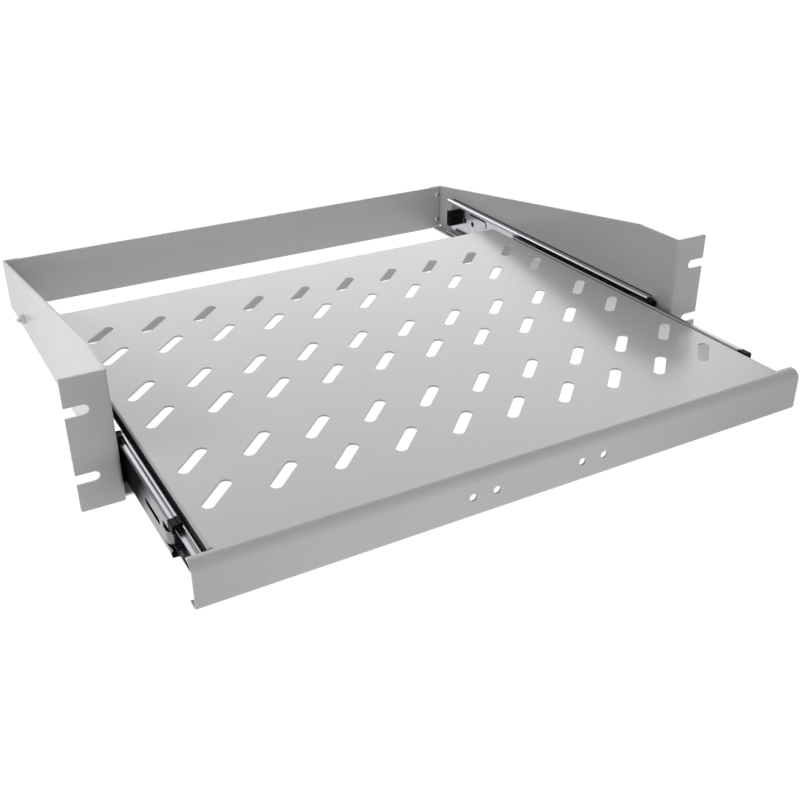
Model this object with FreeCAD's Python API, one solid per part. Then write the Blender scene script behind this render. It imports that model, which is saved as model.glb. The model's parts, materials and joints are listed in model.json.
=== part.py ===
import FreeCAD, Part
import math
import os

# Pull-out 2U rack shelf: a slotted sheet-steel tray on two telescopic ball-bearing slides in a fixed frame.
# Millimetres. Origin: centre of the plane where the ears meet the rack, +X right, +Y to the rear, +Z up.
# The tray is modelled part-way out. Every piece of a slide is drawn on the right and mirrored to the left.

# Rack panel
PANEL_WIDTH = 482.6
PANEL_HEIGHT = 88.1
RACK_HOLE_INSET = 8.75
RACK_HOLE_RISE = 44.45
EAR_WIDTH = 25.8
EAR_SLOT_WIDTH = 6.8
EAR_SLOT_REACH = 5.5
EAR_CORNER = 1.5

# Frame
FRAME_SHEET = 1.5
FRAME_BEND = 1.0
FRAME_DEPTH = 340.0
REAR_HEIGHT = 42.5
SHOULDER_DEPTH = 42.0
FOOT_FLANGE = 10.0
REAR_FLANGE = 12.5
FLANGE_RELIEF = 3.0
CROSSBAR_END_GAP = 0.2
RIVET_DIAMETER = 3.2
RIVET_HEAD = 5.2
RIVET_HEAD_RISE = 1.1
RIVET_BULB = 4.6
RIVET_BULB_LENGTH = 2.2
RIVET_INSET = 4.6
RIVET_LOW = 8.8
RIVET_TOP_INSET = 8.4

# Slides
SLIDE_WIDTH = 11.5
SLIDE_HEIGHT = 35.0
SLIDE_FOOT_GAP = 0.8
SLIDE_SETBACK = 12.0
CABINET_SHORTER = 5.5
CABINET_REAR_GAP = 25.0
CABINET_SHEET = 1.2
CABINET_TRAY_GAP = 3.6
CABINET_LIP = 2.5
CABINET_CORNER = 2.2
CABINET_RACE = 1.25
MIDDLE_SHORTER = 25.0
MIDDLE_SHEET = 1.0
MIDDLE_BEND = 0.6
MIDDLE_RIDGE_RISE = 0.7
MIDDLE_LIP = 2.2
MIDDLE_RIDGE_WIDTH = 2.1
INNER_SHEET = 1.0
INNER_BEND = 0.6
INNER_SHOULDER_RISE = 1.3
INNER_SHOULDER_WIDTH = 2.4
CAGE_SHEET = 0.8
CAGE_BEND = 0.6
CAGE_GAP = 0.4
BALL_GAP = 0.3
OUTER_BALL = 3.4
INNER_BALL = 2.6
BALLS_PER_ROW = 5
CAGE_END = 6.0
CAGE_SLACK = 4.0
LIP_GAP = 0.6
STOP_GAP = 2.0
INNER_STOP_GAP = 6.0

# Travel from closed to the pose that is drawn
MIDDLE_TRAVEL = 150.0
MIDDLE_OUT = 104.0
SHELF_TRAVEL = 150.0
SHELF_OUT = 6.0

# Holes and lanced shapes in the rails
FIXING_DROP = 5.8
FIXING_INSET = 38.0
LANCE_WIDTH = 1.8
LANCE_LENGTH = 28.5
LANCE_DROP = 6.3
LANCE_RISE = 9.6
DIMPLE = 3.4
DIMPLE_RISE = 0.9
DIMPLE_UP = 2.4
DIMPLE_INSET = 56.0
HOLE_UP = 1.0
LATCH_HOLE = 5.0
LATCH_INSET = 24.5
GUIDE_HOLE = 5.0
WINDOW_LENGTH = 27.0
WINDOW_HEIGHT = 4.0
WINDOW_INSET = 16.5
NOSE_DEPTH = 10.0
NOSE_HIGH = 6.5
NOSE_LOW = 7.5
TAB_HEIGHT = 8.0
TAB_SETBACK = 3.0
TAB_REACH = 3.5
TAB_BEND = 2.5

# Plastic pieces
FRONT_PIECE_LENGTH = 5.0
FRONT_PLUG_LENGTH = 2.5
FRONT_STRAP = 1.1
MIDDLE_PIECE_LENGTH = 7.5
MIDDLE_PIECE_DEPTH = 2.6
MIDDLE_LEG_LOW = 7.0
MIDDLE_LEG = 1.8
MIDDLE_PAD_LENGTH = 1.5
MIDDLE_PLUG_LENGTH = 6.0
BUMPER_LENGTH = 6.0
BUMPER_HEIGHT = 15.0
BUMPER_REACH = 8.8
BUMPER_INSET = 5.0
BUMPER_EDGE = 1.0
BUMPER_SOCKET = 3.2
BUMPER_SOCKET_DEPTH = 2.5
BUMPER_SOCKET_PITCH = 6.6
BUMPER_PEG = 3.0

# Tray
TRAY_SHEET = 1.2
TRAY_BEND = 1.0
TRAY_REAR_GAP = 4.3
DECK_ABOVE_SLIDE = 14.0
SIDE_FLANGE = 25.0
REAR_TRAY_FLANGE = 28.5
LIP_SIDE_GAP = 1.1
LIP_HEIGHT = 28.5
LIP_BEND = 4.8
LIP_RETURN = 9.0
WING_DEPTH = 8.3
CORNER_RELIEF = 0.8
SLOT_LENGTH = 30.0
SLOT_WIDTH = 7.5
SLOT_ANGLE = 45.0
SLOT_PITCH = 40.0
SLOT_PAIR_PITCH = 100.0
LIP_HOLE = 5.0
LIP_HOLE_PITCH = 16.5
LIP_HOLE_SPAN = 78.6
LIP_HOLE_RISE = 13.6

# Fasteners
SCREW = 4.0
SCREW_CLEARANCE = 0.5
COUNTERSINK = 6.2
PAN_HEAD = 7.5
PAN_HEAD_RISE = 2.2
NUT_FLATS = 7.0
NUT_HEIGHT = 3.2
SCREW_STICKOUT = 2.8
SHELF_SCREWS = 3
SHELF_SCREW_INSET = 40.0

# Places that follow from the sizes
BOTTOM = -PANEL_HEIGHT / 2
PLATE_OUT = PANEL_WIDTH / 2 - EAR_WIDTH
PLATE_IN = PLATE_OUT - FRAME_SHEET
TRAY_SIDE = PLATE_IN - SLIDE_WIDTH
SLIDE_Z = BOTTOM + FRAME_SHEET + SLIDE_FOOT_GAP + SLIDE_HEIGHT / 2
CROSSBAR_FRONT = FRAME_DEPTH - 2 * FRAME_SHEET
CABINET_REAR = CROSSBAR_FRONT - CABINET_REAR_GAP
CABINET_FRONT = SLIDE_SETBACK + CABINET_SHORTER
RAIL_LENGTH = CABINET_REAR - SLIDE_SETBACK
BUMPER_FRONT = CABINET_REAR - BUMPER_INSET - BUMPER_LENGTH
MIDDLE_REAR = BUMPER_FRONT - STOP_GAP - MIDDLE_OUT
MIDDLE_LENGTH = RAIL_LENGTH - MIDDLE_SHORTER
MIDDLE_FRONT = MIDDLE_REAR - MIDDLE_LENGTH
INNER_REAR = MIDDLE_REAR - INNER_STOP_GAP - SHELF_OUT
INNER_FRONT = INNER_REAR - RAIL_LENGTH
LIP_FRONT = INNER_FRONT - WING_DEPTH - STOP_GAP
LIP_SIDE = PLATE_OUT - LIP_SIDE_GAP
TRAY_REAR = CROSSBAR_FRONT - TRAY_REAR_GAP - MIDDLE_OUT - SHELF_OUT
DECK_TOP = SLIDE_Z + DECK_ABOVE_SLIDE
LIP_BOTTOM = DECK_TOP - LIP_HEIGHT
SCREW_HOLE = SCREW + SCREW_CLEARANCE

# Slide section, measured across from the side plate and up from the slide's centre line
CABINET_TOP = SLIDE_HEIGHT / 2
CABINET_INSIDE = CABINET_TOP - CABINET_SHEET
CABINET_FLANGE = SLIDE_WIDTH - CABINET_TRAY_GAP
OUTER_BALL_RISE = CABINET_INSIDE - BALL_GAP - OUTER_BALL / 2
MIDDLE_TOP = OUTER_BALL_RISE - OUTER_BALL / 2 - BALL_GAP
OUTER_CAGE_IN = CABINET_SHEET + CAGE_GAP
MIDDLE_WEB = OUTER_CAGE_IN + CAGE_SHEET + CAGE_GAP
INNER_CAGE_IN = MIDDLE_WEB + MIDDLE_SHEET + CAGE_GAP
OUTER_BALL_ACROSS = OUTER_CAGE_IN + CAGE_SHEET + CAGE_BEND + OUTER_BALL / 2
MIDDLE_RIDGE_TOP = MIDDLE_TOP + MIDDLE_RIDGE_RISE
MIDDLE_EDGE = SLIDE_WIDTH - INNER_SHOULDER_WIDTH
INNER_BALL_RISE = MIDDLE_TOP - MIDDLE_SHEET - BALL_GAP - INNER_BALL / 2
INNER_BALL_ACROSS = MIDDLE_EDGE - MIDDLE_SHEET - BALL_GAP - INNER_BALL / 2
INNER_TOP = INNER_BALL_RISE - INNER_BALL / 2 - BALL_GAP
INNER_TIP = INNER_CAGE_IN + CAGE_SHEET + CAGE_GAP
INNER_SHOULDER_TOP = INNER_TOP + INNER_SHOULDER_RISE


def vector(x, y, z):
    return FreeCAD.Vector(x, y, z)


def across(y):
    """Map a point of the slide section, across from the plate and up from the centre line, to the right."""
    def place(a, b):
        return vector(PLATE_IN - a, y, SLIDE_Z + b)
    return place


def plan(z):
    def place(a, b):
        return vector(a, b, z)
    return place


def side(x):
    def place(a, b):
        return vector(x, a, b)
    return place


def front(y):
    def place(a, b):
        return vector(a, y, b)
    return place


def box(x0, x1, y0, y1, z0, z1):
    return Part.makeBox(x1 - x0, y1 - y0, z1 - z0, vector(x0, y0, z0))


def rod(radius, start, run):
    return Part.makeCylinder(radius, run.Length, start, run)


def polygon(points, place):
    corners = [place(a, b) for a, b in points]
    return Part.Face(Part.makePolygon(corners + corners[:1]))


def bent_sheet(path, thickness, radii, place):
    """Face of a bent sheet's section: path runs along the middle of the sheet, radii are inside bends."""
    half = thickness / 2
    points = [FreeCAD.Vector(a, b, 0) for a, b in path]
    headings = []
    for first, second in zip(points, points[1:]):
        headings.append((second - first).normalize())
    lefts = [FreeCAD.Vector(-h.y, h.x, 0) for h in headings]

    def edge_of(sign):
        arcs = []
        for i, inside in enumerate(radii):
            before = headings[i]
            after = headings[i + 1]
            hand = 1.0 if before.x * after.y > before.y * after.x else -1.0
            middle = inside + half
            trim = middle * math.tan(math.acos(before.dot(after)) / 2)
            start = points[i + 1] - before * trim
            finish = points[i + 1] + after * trim
            centre = start + lefts[i] * (middle * hand)
            outward = (points[i + 1] - centre).normalize()
            crown = centre + outward * (middle - half * hand * sign)
            arcs.append((start + lefts[i] * (half * sign), crown, finish + lefts[i + 1] * (half * sign)))
        return points[0] + lefts[0] * (half * sign), arcs, points[-1] + lefts[-1] * (half * sign)

    def put(point):
        return place(point.x, point.y)

    edges = []
    left_start, left_arcs, left_end = edge_of(1.0)
    right_start, right_arcs, right_end = edge_of(-1.0)
    at = left_start
    for start, middle_point, finish in left_arcs:
        edges.append(Part.makeLine(put(at), put(start)))
        edges.append(Part.Arc(put(start), put(middle_point), put(finish)).toShape())
        at = finish
    edges.append(Part.makeLine(put(at), put(left_end)))
    edges.append(Part.makeLine(put(left_end), put(right_end)))
    at = right_end
    for finish, middle_point, start in reversed(right_arcs):
        edges.append(Part.makeLine(put(at), put(start)))
        edges.append(Part.Arc(put(start), put(middle_point), put(finish)).toShape())
        at = finish
    edges.append(Part.makeLine(put(at), put(right_start)))
    edges.append(Part.makeLine(put(right_start), put(left_start)))
    return Part.Face(Part.Wire(edges))


def round_slot(length, width, centre, along, through):
    """Slot with round ends: centre of its first face, direction of its length, and how it runs through."""
    along = FreeCAD.Vector(along).normalize()
    aside = FreeCAD.Vector(through).cross(along).normalize()
    radius = width / 2
    reach = length / 2 - radius
    a = centre + along * reach + aside * radius
    b = centre - along * reach + aside * radius
    c = centre - along * reach - aside * radius
    d = centre + along * reach - aside * radius
    edges = [Part.makeLine(a, b),
             Part.Arc(b, centre - along * (reach + radius), c).toShape(),
             Part.makeLine(c, d),
             Part.Arc(d, centre + along * (reach + radius), a).toShape()]
    return Part.Face(Part.Wire(edges)).extrude(through)


def mirrored(shape):
    return shape.mirror(vector(0, 0, 0), vector(1, 0, 0))


def join(first, *others):
    return first.fuse(list(others)).removeSplitter()


def save(name, shape):
    solids = shape.Solids
    kept = solids[0] if len(solids) == 1 else Part.makeCompound(solids)
    kept.exportStep("parts/%s.step" % name)


def save_pair(name, shape):
    save("right_" + name, shape)
    save("left_" + name, mirrored(shape))


def fixing_places():
    """Front and rear fixing screws of a cabinet rail, as depth and height."""
    height = SLIDE_Z - FIXING_DROP
    return [(CABINET_FRONT + FIXING_INSET, height), (CABINET_REAR - FIXING_INSET, height)]


def shelf_screw_places():
    """Screws that hold an inner rail to the tray, spread along the rail, as depths."""
    first = INNER_FRONT + SHELF_SCREW_INSET
    step = (RAIL_LENGTH - 2 * SHELF_SCREW_INSET) / (SHELF_SCREWS - 1)
    return [first + i * step for i in range(SHELF_SCREWS)]


def rivet_places():
    """Rivets at the right end of the crossbar, as distance from the centre and height."""
    across_x = PLATE_OUT - RIVET_INSET
    low = BOTTOM + RIVET_LOW
    return [(across_x, low), (across_x, BOTTOM + REAR_HEIGHT - RIVET_TOP_INSET)]


# Side plate: ear, web, foot flange and rear flange from one sheet
def side_plate():
    half = FRAME_SHEET / 2
    web = PLATE_OUT - half
    path = [(PANEL_WIDTH / 2, -half), (web, -half), (web, FRAME_DEPTH - half),
            (PLATE_OUT - REAR_FLANGE, FRAME_DEPTH - half)]
    upright = bent_sheet(path, FRAME_SHEET, [FRAME_BEND, FRAME_BEND], plan(BOTTOM))
    plate = upright.extrude(vector(0, 0, PANEL_HEIGHT))
    top = PANEL_HEIGHT / 2
    rear_top = BOTTOM + REAR_HEIGHT
    far = FRAME_DEPTH + SHOULDER_DEPTH
    fall = (top - rear_top) / (FRAME_DEPTH - SHOULDER_DEPTH)
    slope = polygon([(SHOULDER_DEPTH, top), (FRAME_DEPTH, rear_top), (far, rear_top - fall),
                     (far, top + FRAME_SHEET), (SHOULDER_DEPTH, top + FRAME_SHEET)], side(0))
    plate = plate.cut(slope.extrude(vector(PANEL_WIDTH, 0, 0)))
    bend_rise = BOTTOM + FRAME_SHEET + FRAME_BEND
    plate = plate.cut(box(0, PLATE_OUT, half, CROSSBAR_FRONT + FRAME_SHEET, BOTTOM, bend_rise))
    foot_path = [(web, bend_rise + FRAME_SHEET), (web, BOTTOM + half),
                 (PLATE_OUT - FOOT_FLANGE, BOTTOM + half)]
    foot = bent_sheet(foot_path, FRAME_SHEET, [FRAME_BEND], front(FLANGE_RELIEF))
    foot = foot.extrude(vector(0, CROSSBAR_FRONT - 2 * FLANGE_RELIEF, 0))
    plate = join(plate, foot)
    ear_edges = [e for e in plate.Edges if e.BoundBox.XMin > PANEL_WIDTH / 2 - half]
    plate = plate.makeFillet(EAR_CORNER, [e for e in ear_edges if e.BoundBox.ZLength < half])
    slot_length = 2 * (RACK_HOLE_INSET + EAR_SLOT_REACH)
    for sign in (-1, 1):
        centre = vector(PANEL_WIDTH / 2, -2 * FRAME_SHEET, sign * RACK_HOLE_RISE / 2)
        plate = plate.cut(round_slot(slot_length, EAR_SLOT_WIDTH, centre, vector(1, 0, 0),
                                     vector(0, 4 * FRAME_SHEET, 0)))
    for depth, height in fixing_places():
        start = vector(PLATE_IN - half, depth, height)
        plate = plate.cut(rod(SCREW_HOLE / 2, start, vector(2 * FRAME_SHEET, 0, 0)))
    for x, height in rivet_places():
        start = vector(x, CROSSBAR_FRONT, height)
        plate = plate.cut(rod(RIVET_DIAMETER / 2, start, vector(0, 3 * FRAME_SHEET, 0)))
    return plate


# Crossbar between the rear flanges
def rear_crossbar():
    reach = PLATE_IN - CROSSBAR_END_GAP
    bar = box(-reach, reach, CROSSBAR_FRONT, CROSSBAR_FRONT + FRAME_SHEET, BOTTOM, BOTTOM + REAR_HEIGHT)
    back_corners = [e for e in bar.Edges if e.BoundBox.YMin > CROSSBAR_FRONT
                    and e.BoundBox.ZLength > FRAME_SHEET]
    bar = bar.makeFillet(FRAME_BEND, back_corners)
    for x, height in rivet_places():
        for sign in (-1, 1):
            start = vector(sign * x, CROSSBAR_FRONT - FRAME_SHEET, height)
            bar = bar.cut(rod(RIVET_DIAMETER / 2, start, vector(0, 3 * FRAME_SHEET, 0)))
    return bar


# Blind rivets: domed head inside the frame, shank, and the bulb pulled up behind the flange
def rivet(x, height):
    shank_end = FRAME_DEPTH + RIVET_BULB_LENGTH
    head = RIVET_HEAD / 2
    shank = RIVET_DIAMETER / 2
    bulb = RIVET_BULB / 2
    dome_radius = (head ** 2 + RIVET_HEAD_RISE ** 2) / (2 * RIVET_HEAD_RISE)
    dome_angle = math.asin(head / dome_radius) / 2
    crown = CROSSBAR_FRONT - RIVET_HEAD_RISE
    place = plan(0)
    dome_mid = place(dome_radius * math.sin(dome_angle), crown + dome_radius * (1 - math.cos(dome_angle)))
    edges = [Part.Arc(place(0, crown), dome_mid, place(head, CROSSBAR_FRONT)).toShape()]
    outline = [(head, CROSSBAR_FRONT), (shank, CROSSBAR_FRONT), (shank, FRAME_DEPTH), (bulb, FRAME_DEPTH),
               (bulb, shank_end - bulb / 2), (shank, shank_end), (0, shank_end), (0, crown)]
    edges += Part.makePolygon([place(a, b) for a, b in outline]).Edges
    solid = Part.Face(Part.Wire(edges)).revolve(vector(0, 0, 0), vector(0, 1, 0), 360)
    return solid.translated(vector(x, 0, height))


# Cabinet rail: C section with lips that hold the outer balls
def cabinet_section(y):
    half = CABINET_SHEET / 2
    top = CABINET_TOP - half
    edge = CABINET_FLANGE - half
    lip = CABINET_TOP - CABINET_LIP
    path = [(edge, -lip), (edge, -top), (half, -top), (half, top), (edge, top), (edge, lip)]
    bends = [CABINET_RACE, CABINET_CORNER, CABINET_CORNER, CABINET_RACE]
    return bent_sheet(path, CABINET_SHEET, bends, across(y))


def cabinet_rail():
    rail = cabinet_section(CABINET_FRONT).extrude(vector(0, CABINET_REAR - CABINET_FRONT, 0))
    back = PLATE_IN
    through = vector(-2 * CABINET_SHEET, 0, 0)
    for depth, height in fixing_places():
        rail = rail.cut(rod(SCREW / 2, vector(back + CABINET_SHEET, depth, height), 2 * through))
        rail = rail.cut(countersink(depth, height))
        guide = vector(back + CABINET_SHEET, depth, SLIDE_Z + HOLE_UP)
        rail = rail.cut(rod(GUIDE_HOLE / 2, guide, 2 * through))
    latch = CABINET_REAR - LATCH_INSET
    latch_z = SLIDE_Z + HOLE_UP
    half = LATCH_HOLE / 2
    rail = rail.cut(box(back - 2 * CABINET_SHEET, back + CABINET_SHEET, latch - half, latch + half,
                        latch_z - half, latch_z + half))
    peg = vector(back + CABINET_SHEET, BUMPER_FRONT + BUMPER_LENGTH / 2, SLIDE_Z)
    rail = rail.cut(rod(BUMPER_PEG / 2, peg, 2 * through))
    lance_rear = CABINET_REAR - FIXING_INSET + GUIDE_HOLE
    lance_front = lance_rear - LANCE_LENGTH
    lance_top = SLIDE_Z + LANCE_RISE
    lance_path = [(lance_rear, lance_top), (lance_front, lance_top), (lance_front, lance_top - LANCE_DROP)]
    lance = bent_sheet(lance_path, LANCE_WIDTH, [LANCE_WIDTH], side(back + CABINET_SHEET))
    return join(rail.cut(lance.extrude(2 * through)), latch_dimple())


def latch_dimple():
    """Pressed bump on the springy tongue of the cabinet rail."""
    radius = DIMPLE / 2
    ball = (radius ** 2 + DIMPLE_RISE ** 2) / (2 * DIMPLE_RISE)
    face = PLATE_IN - CABINET_SHEET
    depth = CABINET_REAR - DIMPLE_INSET
    height = SLIDE_Z + DIMPLE_UP
    bump = Part.makeSphere(ball, vector(face + ball - DIMPLE_RISE, depth, height))
    return bump.common(box(face - ball, face + CABINET_SHEET / 2, depth - ball, depth + ball,
                           height - ball, height + ball))


def countersink(depth, height):
    sunk = (COUNTERSINK - SCREW) / 2
    return Part.makeCone(COUNTERSINK / 2, SCREW / 2, sunk, vector(PLATE_IN - CABINET_SHEET, depth, height),
                         vector(1, 0, 0))


# Fixing screws of a cabinet rail, with their nuts outside the plate
def fixing_screw(depth, height):
    end = PLATE_OUT + NUT_HEIGHT + SCREW_STICKOUT
    sunk = (COUNTERSINK - SCREW) / 2
    start = PLATE_IN - CABINET_SHEET + sunk
    shank = rod(SCREW / 2, vector(start, depth, height), vector(end - start, 0, 0))
    return join(countersink(depth, height), shank)


def hex_nut(x, depth, height):
    corner = NUT_FLATS / math.sqrt(3)
    points = []
    for i in range(6):
        angle = math.radians(60 * i + 30)
        points.append((depth + corner * math.cos(angle), height + corner * math.sin(angle)))
    nut = polygon(points, side(x)).extrude(vector(NUT_HEIGHT, 0, 0))
    return nut.cut(rod(SCREW / 2, vector(x - NUT_HEIGHT, depth, height), vector(3 * NUT_HEIGHT, 0, 0)))


# Front end piece of a cabinet rail: a plug under each flange, joined by a strap along the web
def front_piece():
    front_face = CABINET_FRONT - FRONT_PIECE_LENGTH
    run = vector(0, FRONT_PIECE_LENGTH + FRONT_PLUG_LENGTH, 0)
    low = MIDDLE_RIDGE_TOP + LIP_GAP
    high = CABINET_INSIDE
    web = CABINET_SHEET
    edge = CABINET_FLANGE - CABINET_SHEET
    strap = [(web, -low), (web + FRONT_STRAP, -low), (web + FRONT_STRAP, low), (web, low)]
    piece = polygon(strap, across(front_face)).extrude(run)
    for sign in (-1, 1):
        points = [(web, sign * low), (edge, sign * low), (edge, sign * (high - CABINET_RACE)),
                  (edge - CABINET_RACE, sign * high), (web + CABINET_CORNER, sign * high),
                  (web, sign * (high - CABINET_CORNER))]
        piece = join(piece, polygon(points, across(front_face)).extrude(run))
    return piece


# Rear bumper in a cabinet rail: a plastic block with two sockets, pegged into the web
def rear_bumper():
    top = BUMPER_HEIGHT / 2
    back = PLATE_IN - CABINET_SHEET
    face = back - BUMPER_REACH
    middle = BUMPER_FRONT + BUMPER_LENGTH / 2
    block = box(face, back, BUMPER_FRONT, BUMPER_FRONT + BUMPER_LENGTH, SLIDE_Z - top, SLIDE_Z + top)
    long_edges = [e for e in block.Edges if e.BoundBox.XLength > BUMPER_REACH / 2]
    block = block.makeFillet(BUMPER_EDGE, long_edges)
    block = join(block, rod(BUMPER_PEG / 2, vector(back - CABINET_SHEET, middle, SLIDE_Z),
                            vector(2 * CABINET_SHEET, 0, 0)))
    for sign in (-1, 1):
        mouth = vector(face - BUMPER_EDGE, middle, SLIDE_Z + sign * BUMPER_SOCKET_PITCH / 2)
        block = block.cut(rod(BUMPER_SOCKET / 2, mouth, vector(BUMPER_EDGE + BUMPER_SOCKET_DEPTH, 0, 0)))
    return block


# Middle rail: web, flanges with an outer race, a ridge, and lips over the inner balls
def middle_path():
    half = MIDDLE_SHEET / 2
    web = MIDDLE_WEB + half
    top = MIDDLE_TOP - half
    ridge = MIDDLE_RIDGE_TOP - half
    edge = MIDDLE_EDGE - half
    step = edge + half - MIDDLE_RIDGE_WIDTH
    lip = MIDDLE_RIDGE_TOP - MIDDLE_LIP
    upper = [(web, top), (step - MIDDLE_RIDGE_RISE, top), (step, ridge), (edge, ridge), (edge, lip)]
    lower = [(a, -b) for a, b in reversed(upper)]
    return lower + upper


def middle_rail():
    small = MIDDLE_SHEET / 2
    bends = [MIDDLE_BEND, small, small, MIDDLE_BEND]
    section = bent_sheet(middle_path(), MIDDLE_SHEET, bends + bends, across(MIDDLE_FRONT))
    rail = section.extrude(vector(0, MIDDLE_LENGTH, 0))
    web_face = PLATE_IN - MIDDLE_WEB + MIDDLE_SHEET
    through = vector(-3 * MIDDLE_SHEET, 0, 0)
    centre = MIDDLE_FRONT + WINDOW_INSET + WINDOW_LENGTH / 2
    rail = rail.cut(round_slot(WINDOW_LENGTH, WINDOW_HEIGHT, vector(web_face, centre, SLIDE_Z),
                               vector(0, 1, 0), through))
    rail = rail.cut(box(web_face + through.x, web_face, MIDDLE_FRONT - NOSE_DEPTH, MIDDLE_FRONT + NOSE_DEPTH,
                        SLIDE_Z - NOSE_LOW, SLIDE_Z + NOSE_HIGH))
    return join(rail, nose_tab())


def nose_tab():
    """Tab of the middle rail's web, curled inwards to stop the inner ball cage."""
    web = PLATE_IN - MIDDLE_WEB - MIDDLE_SHEET / 2
    tip = MIDDLE_FRONT + TAB_SETBACK
    path = [(web, MIDDLE_FRONT + NOSE_DEPTH + MIDDLE_SHEET), (web, tip), (web - TAB_REACH, tip)]
    tab = bent_sheet(path, MIDDLE_SHEET, [TAB_BEND], plan(SLIDE_Z - NOSE_LOW + MIDDLE_SHEET))
    return tab.extrude(vector(0, 0, TAB_HEIGHT))


# Plastic end pieces of a middle rail: a head over the upper flange, a pad under it, each with a plug
def middle_end_pieces():
    top = MIDDLE_RIDGE_TOP
    low = top - MIDDLE_PIECE_DEPTH
    leg = MIDDLE_WEB + MIDDLE_LEG
    ridge = MIDDLE_EDGE - MIDDLE_RIDGE_WIDTH
    crown = [(MIDDLE_EDGE, low), (MIDDLE_EDGE, top - MIDDLE_BEND), (MIDDLE_EDGE - MIDDLE_BEND, top),
             (ridge, top), (ridge - top + MIDDLE_TOP, MIDDLE_TOP), (MIDDLE_WEB + MIDDLE_BEND, MIDDLE_TOP),
             (MIDDLE_WEB, MIDDLE_TOP - MIDDLE_BEND)]
    head = polygon([(MIDDLE_WEB, MIDDLE_LEG_LOW), (leg, MIDDLE_LEG_LOW), (leg, low)] + crown,
                   across(MIDDLE_FRONT - MIDDLE_PIECE_LENGTH))
    head = head.extrude(vector(0, MIDDLE_PIECE_LENGTH, 0))
    pad = polygon([(a, -b) for a, b in [(MIDDLE_WEB, low)] + crown], across(MIDDLE_FRONT - MIDDLE_PAD_LENGTH))
    pad = pad.extrude(vector(0, MIDDLE_PAD_LENGTH, 0))
    under = MIDDLE_TOP - MIDDLE_SHEET
    plug_in = MIDDLE_WEB + MIDDLE_SHEET + MIDDLE_BEND
    plug_out = ridge - MIDDLE_SHEET
    pieces = []
    for sign, body in ((1, head), (-1, pad)):
        points = [(plug_in, sign * low), (plug_out, sign * low), (plug_out, sign * under),
                  (plug_in, sign * under)]
        plug = polygon(points, across(MIDDLE_FRONT)).extrude(vector(0, MIDDLE_PLUG_LENGTH, 0))
        pieces.append(join(body, plug))
    return Part.makeCompound(pieces)


# Ball cage: a C-shaped strip with a row of ball holes in each flange
def cage_span(travel, out, rail_front, rail_rear):
    """Start and length of a cage that rolls at half the travel and fills the overlap when fully out."""
    to_come = travel - out
    length = rail_rear - rail_front - to_come - 2 * CAGE_SLACK
    return rail_front + CAGE_SLACK + to_come / 2, length


def ball_places(start, length):
    step = (length - 2 * CAGE_END) / (BALLS_PER_ROW - 1)
    return [start + CAGE_END + i * step for i in range(BALLS_PER_ROW)]


def ball_cage(web_in, ball_rise, ball_across, ball, start, length):
    half = CAGE_SHEET / 2
    tip = ball_across + ball / 2 + CAGE_SHEET / 2
    path = [(tip, -ball_rise), (web_in + half, -ball_rise), (web_in + half, ball_rise), (tip, ball_rise)]
    cage = bent_sheet(path, CAGE_SHEET, [CAGE_BEND, CAGE_BEND], across(start))
    cage = cage.extrude(vector(0, length, 0))
    for depth in ball_places(start, length):
        for sign in (-1, 1):
            foot = vector(PLATE_IN - ball_across, depth, SLIDE_Z + sign * ball_rise - ball)
            cage = cage.cut(rod(ball / 2, foot, vector(0, 0, 2 * ball)))
    return cage


def ball_rows(ball_rise, ball_across, ball, start, length):
    balls = []
    for depth in ball_places(start, length):
        for sign in (-1, 1):
            centre = vector(PLATE_IN - ball_across, depth, SLIDE_Z + sign * ball_rise)
            balls.append(Part.makeSphere(ball / 2, centre))
    return Part.makeCompound(balls)


# Inner rail: web against the tray, shoulders, and the races of the inner balls
def inner_rail():
    half = INNER_SHEET / 2
    web = SLIDE_WIDTH - half
    race = INNER_TOP - half
    shoulder = INNER_SHOULDER_TOP - half
    step = MIDDLE_EDGE
    upper = [(web, shoulder), (step, shoulder), (step - INNER_SHOULDER_RISE, race), (INNER_TIP, race)]
    path = [(a, -b) for a, b in reversed(upper)] + upper
    small = INNER_SHEET / 2
    bends = [small, small, INNER_BEND, INNER_BEND, small, small]
    rail = bent_sheet(path, INNER_SHEET, bends, across(INNER_FRONT)).extrude(vector(0, RAIL_LENGTH, 0))
    for depth in shelf_screw_places():
        rail = rail.cut(rod(SCREW / 2, vector(TRAY_SIDE - INNER_SHEET, depth, SLIDE_Z),
                            vector(3 * INNER_SHEET, 0, 0)))
    return rail


# Tray: lip with return, deck and rear flange as one section, then the side flanges
def tray_outline():
    half = TRAY_SHEET / 2
    lip_face = LIP_FRONT + half
    deck = DECK_TOP - half
    path = [(LIP_FRONT + LIP_RETURN, LIP_BOTTOM + half), (lip_face, LIP_BOTTOM + half), (lip_face, deck),
            (TRAY_REAR - half, deck), (TRAY_REAR - half, DECK_TOP - REAR_TRAY_FLANGE)]
    section = bent_sheet(path, TRAY_SHEET, [TRAY_BEND, LIP_BEND, TRAY_BEND], side(-LIP_SIDE))
    return section.extrude(vector(2 * LIP_SIDE, 0, 0))


def side_flange():
    half = TRAY_SHEET / 2
    deck = DECK_TOP - half
    start = LIP_FRONT + WING_DEPTH + 2 * CORNER_RELIEF
    path = [(TRAY_SIDE - SIDE_FLANGE, deck), (TRAY_SIDE - half, deck),
            (TRAY_SIDE - half, DECK_TOP - SIDE_FLANGE)]
    strip = bent_sheet(path, TRAY_SHEET, [TRAY_BEND], front(start))
    strip = strip.extrude(vector(0, TRAY_REAR - TRAY_BEND - 2 * TRAY_SHEET - start, 0))
    for depth in shelf_screw_places():
        strip = strip.cut(rod(SCREW_HOLE / 2, vector(TRAY_SIDE - 2 * TRAY_SHEET, depth, SLIDE_Z),
                              vector(3 * TRAY_SHEET, 0, 0)))
    return strip


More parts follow.
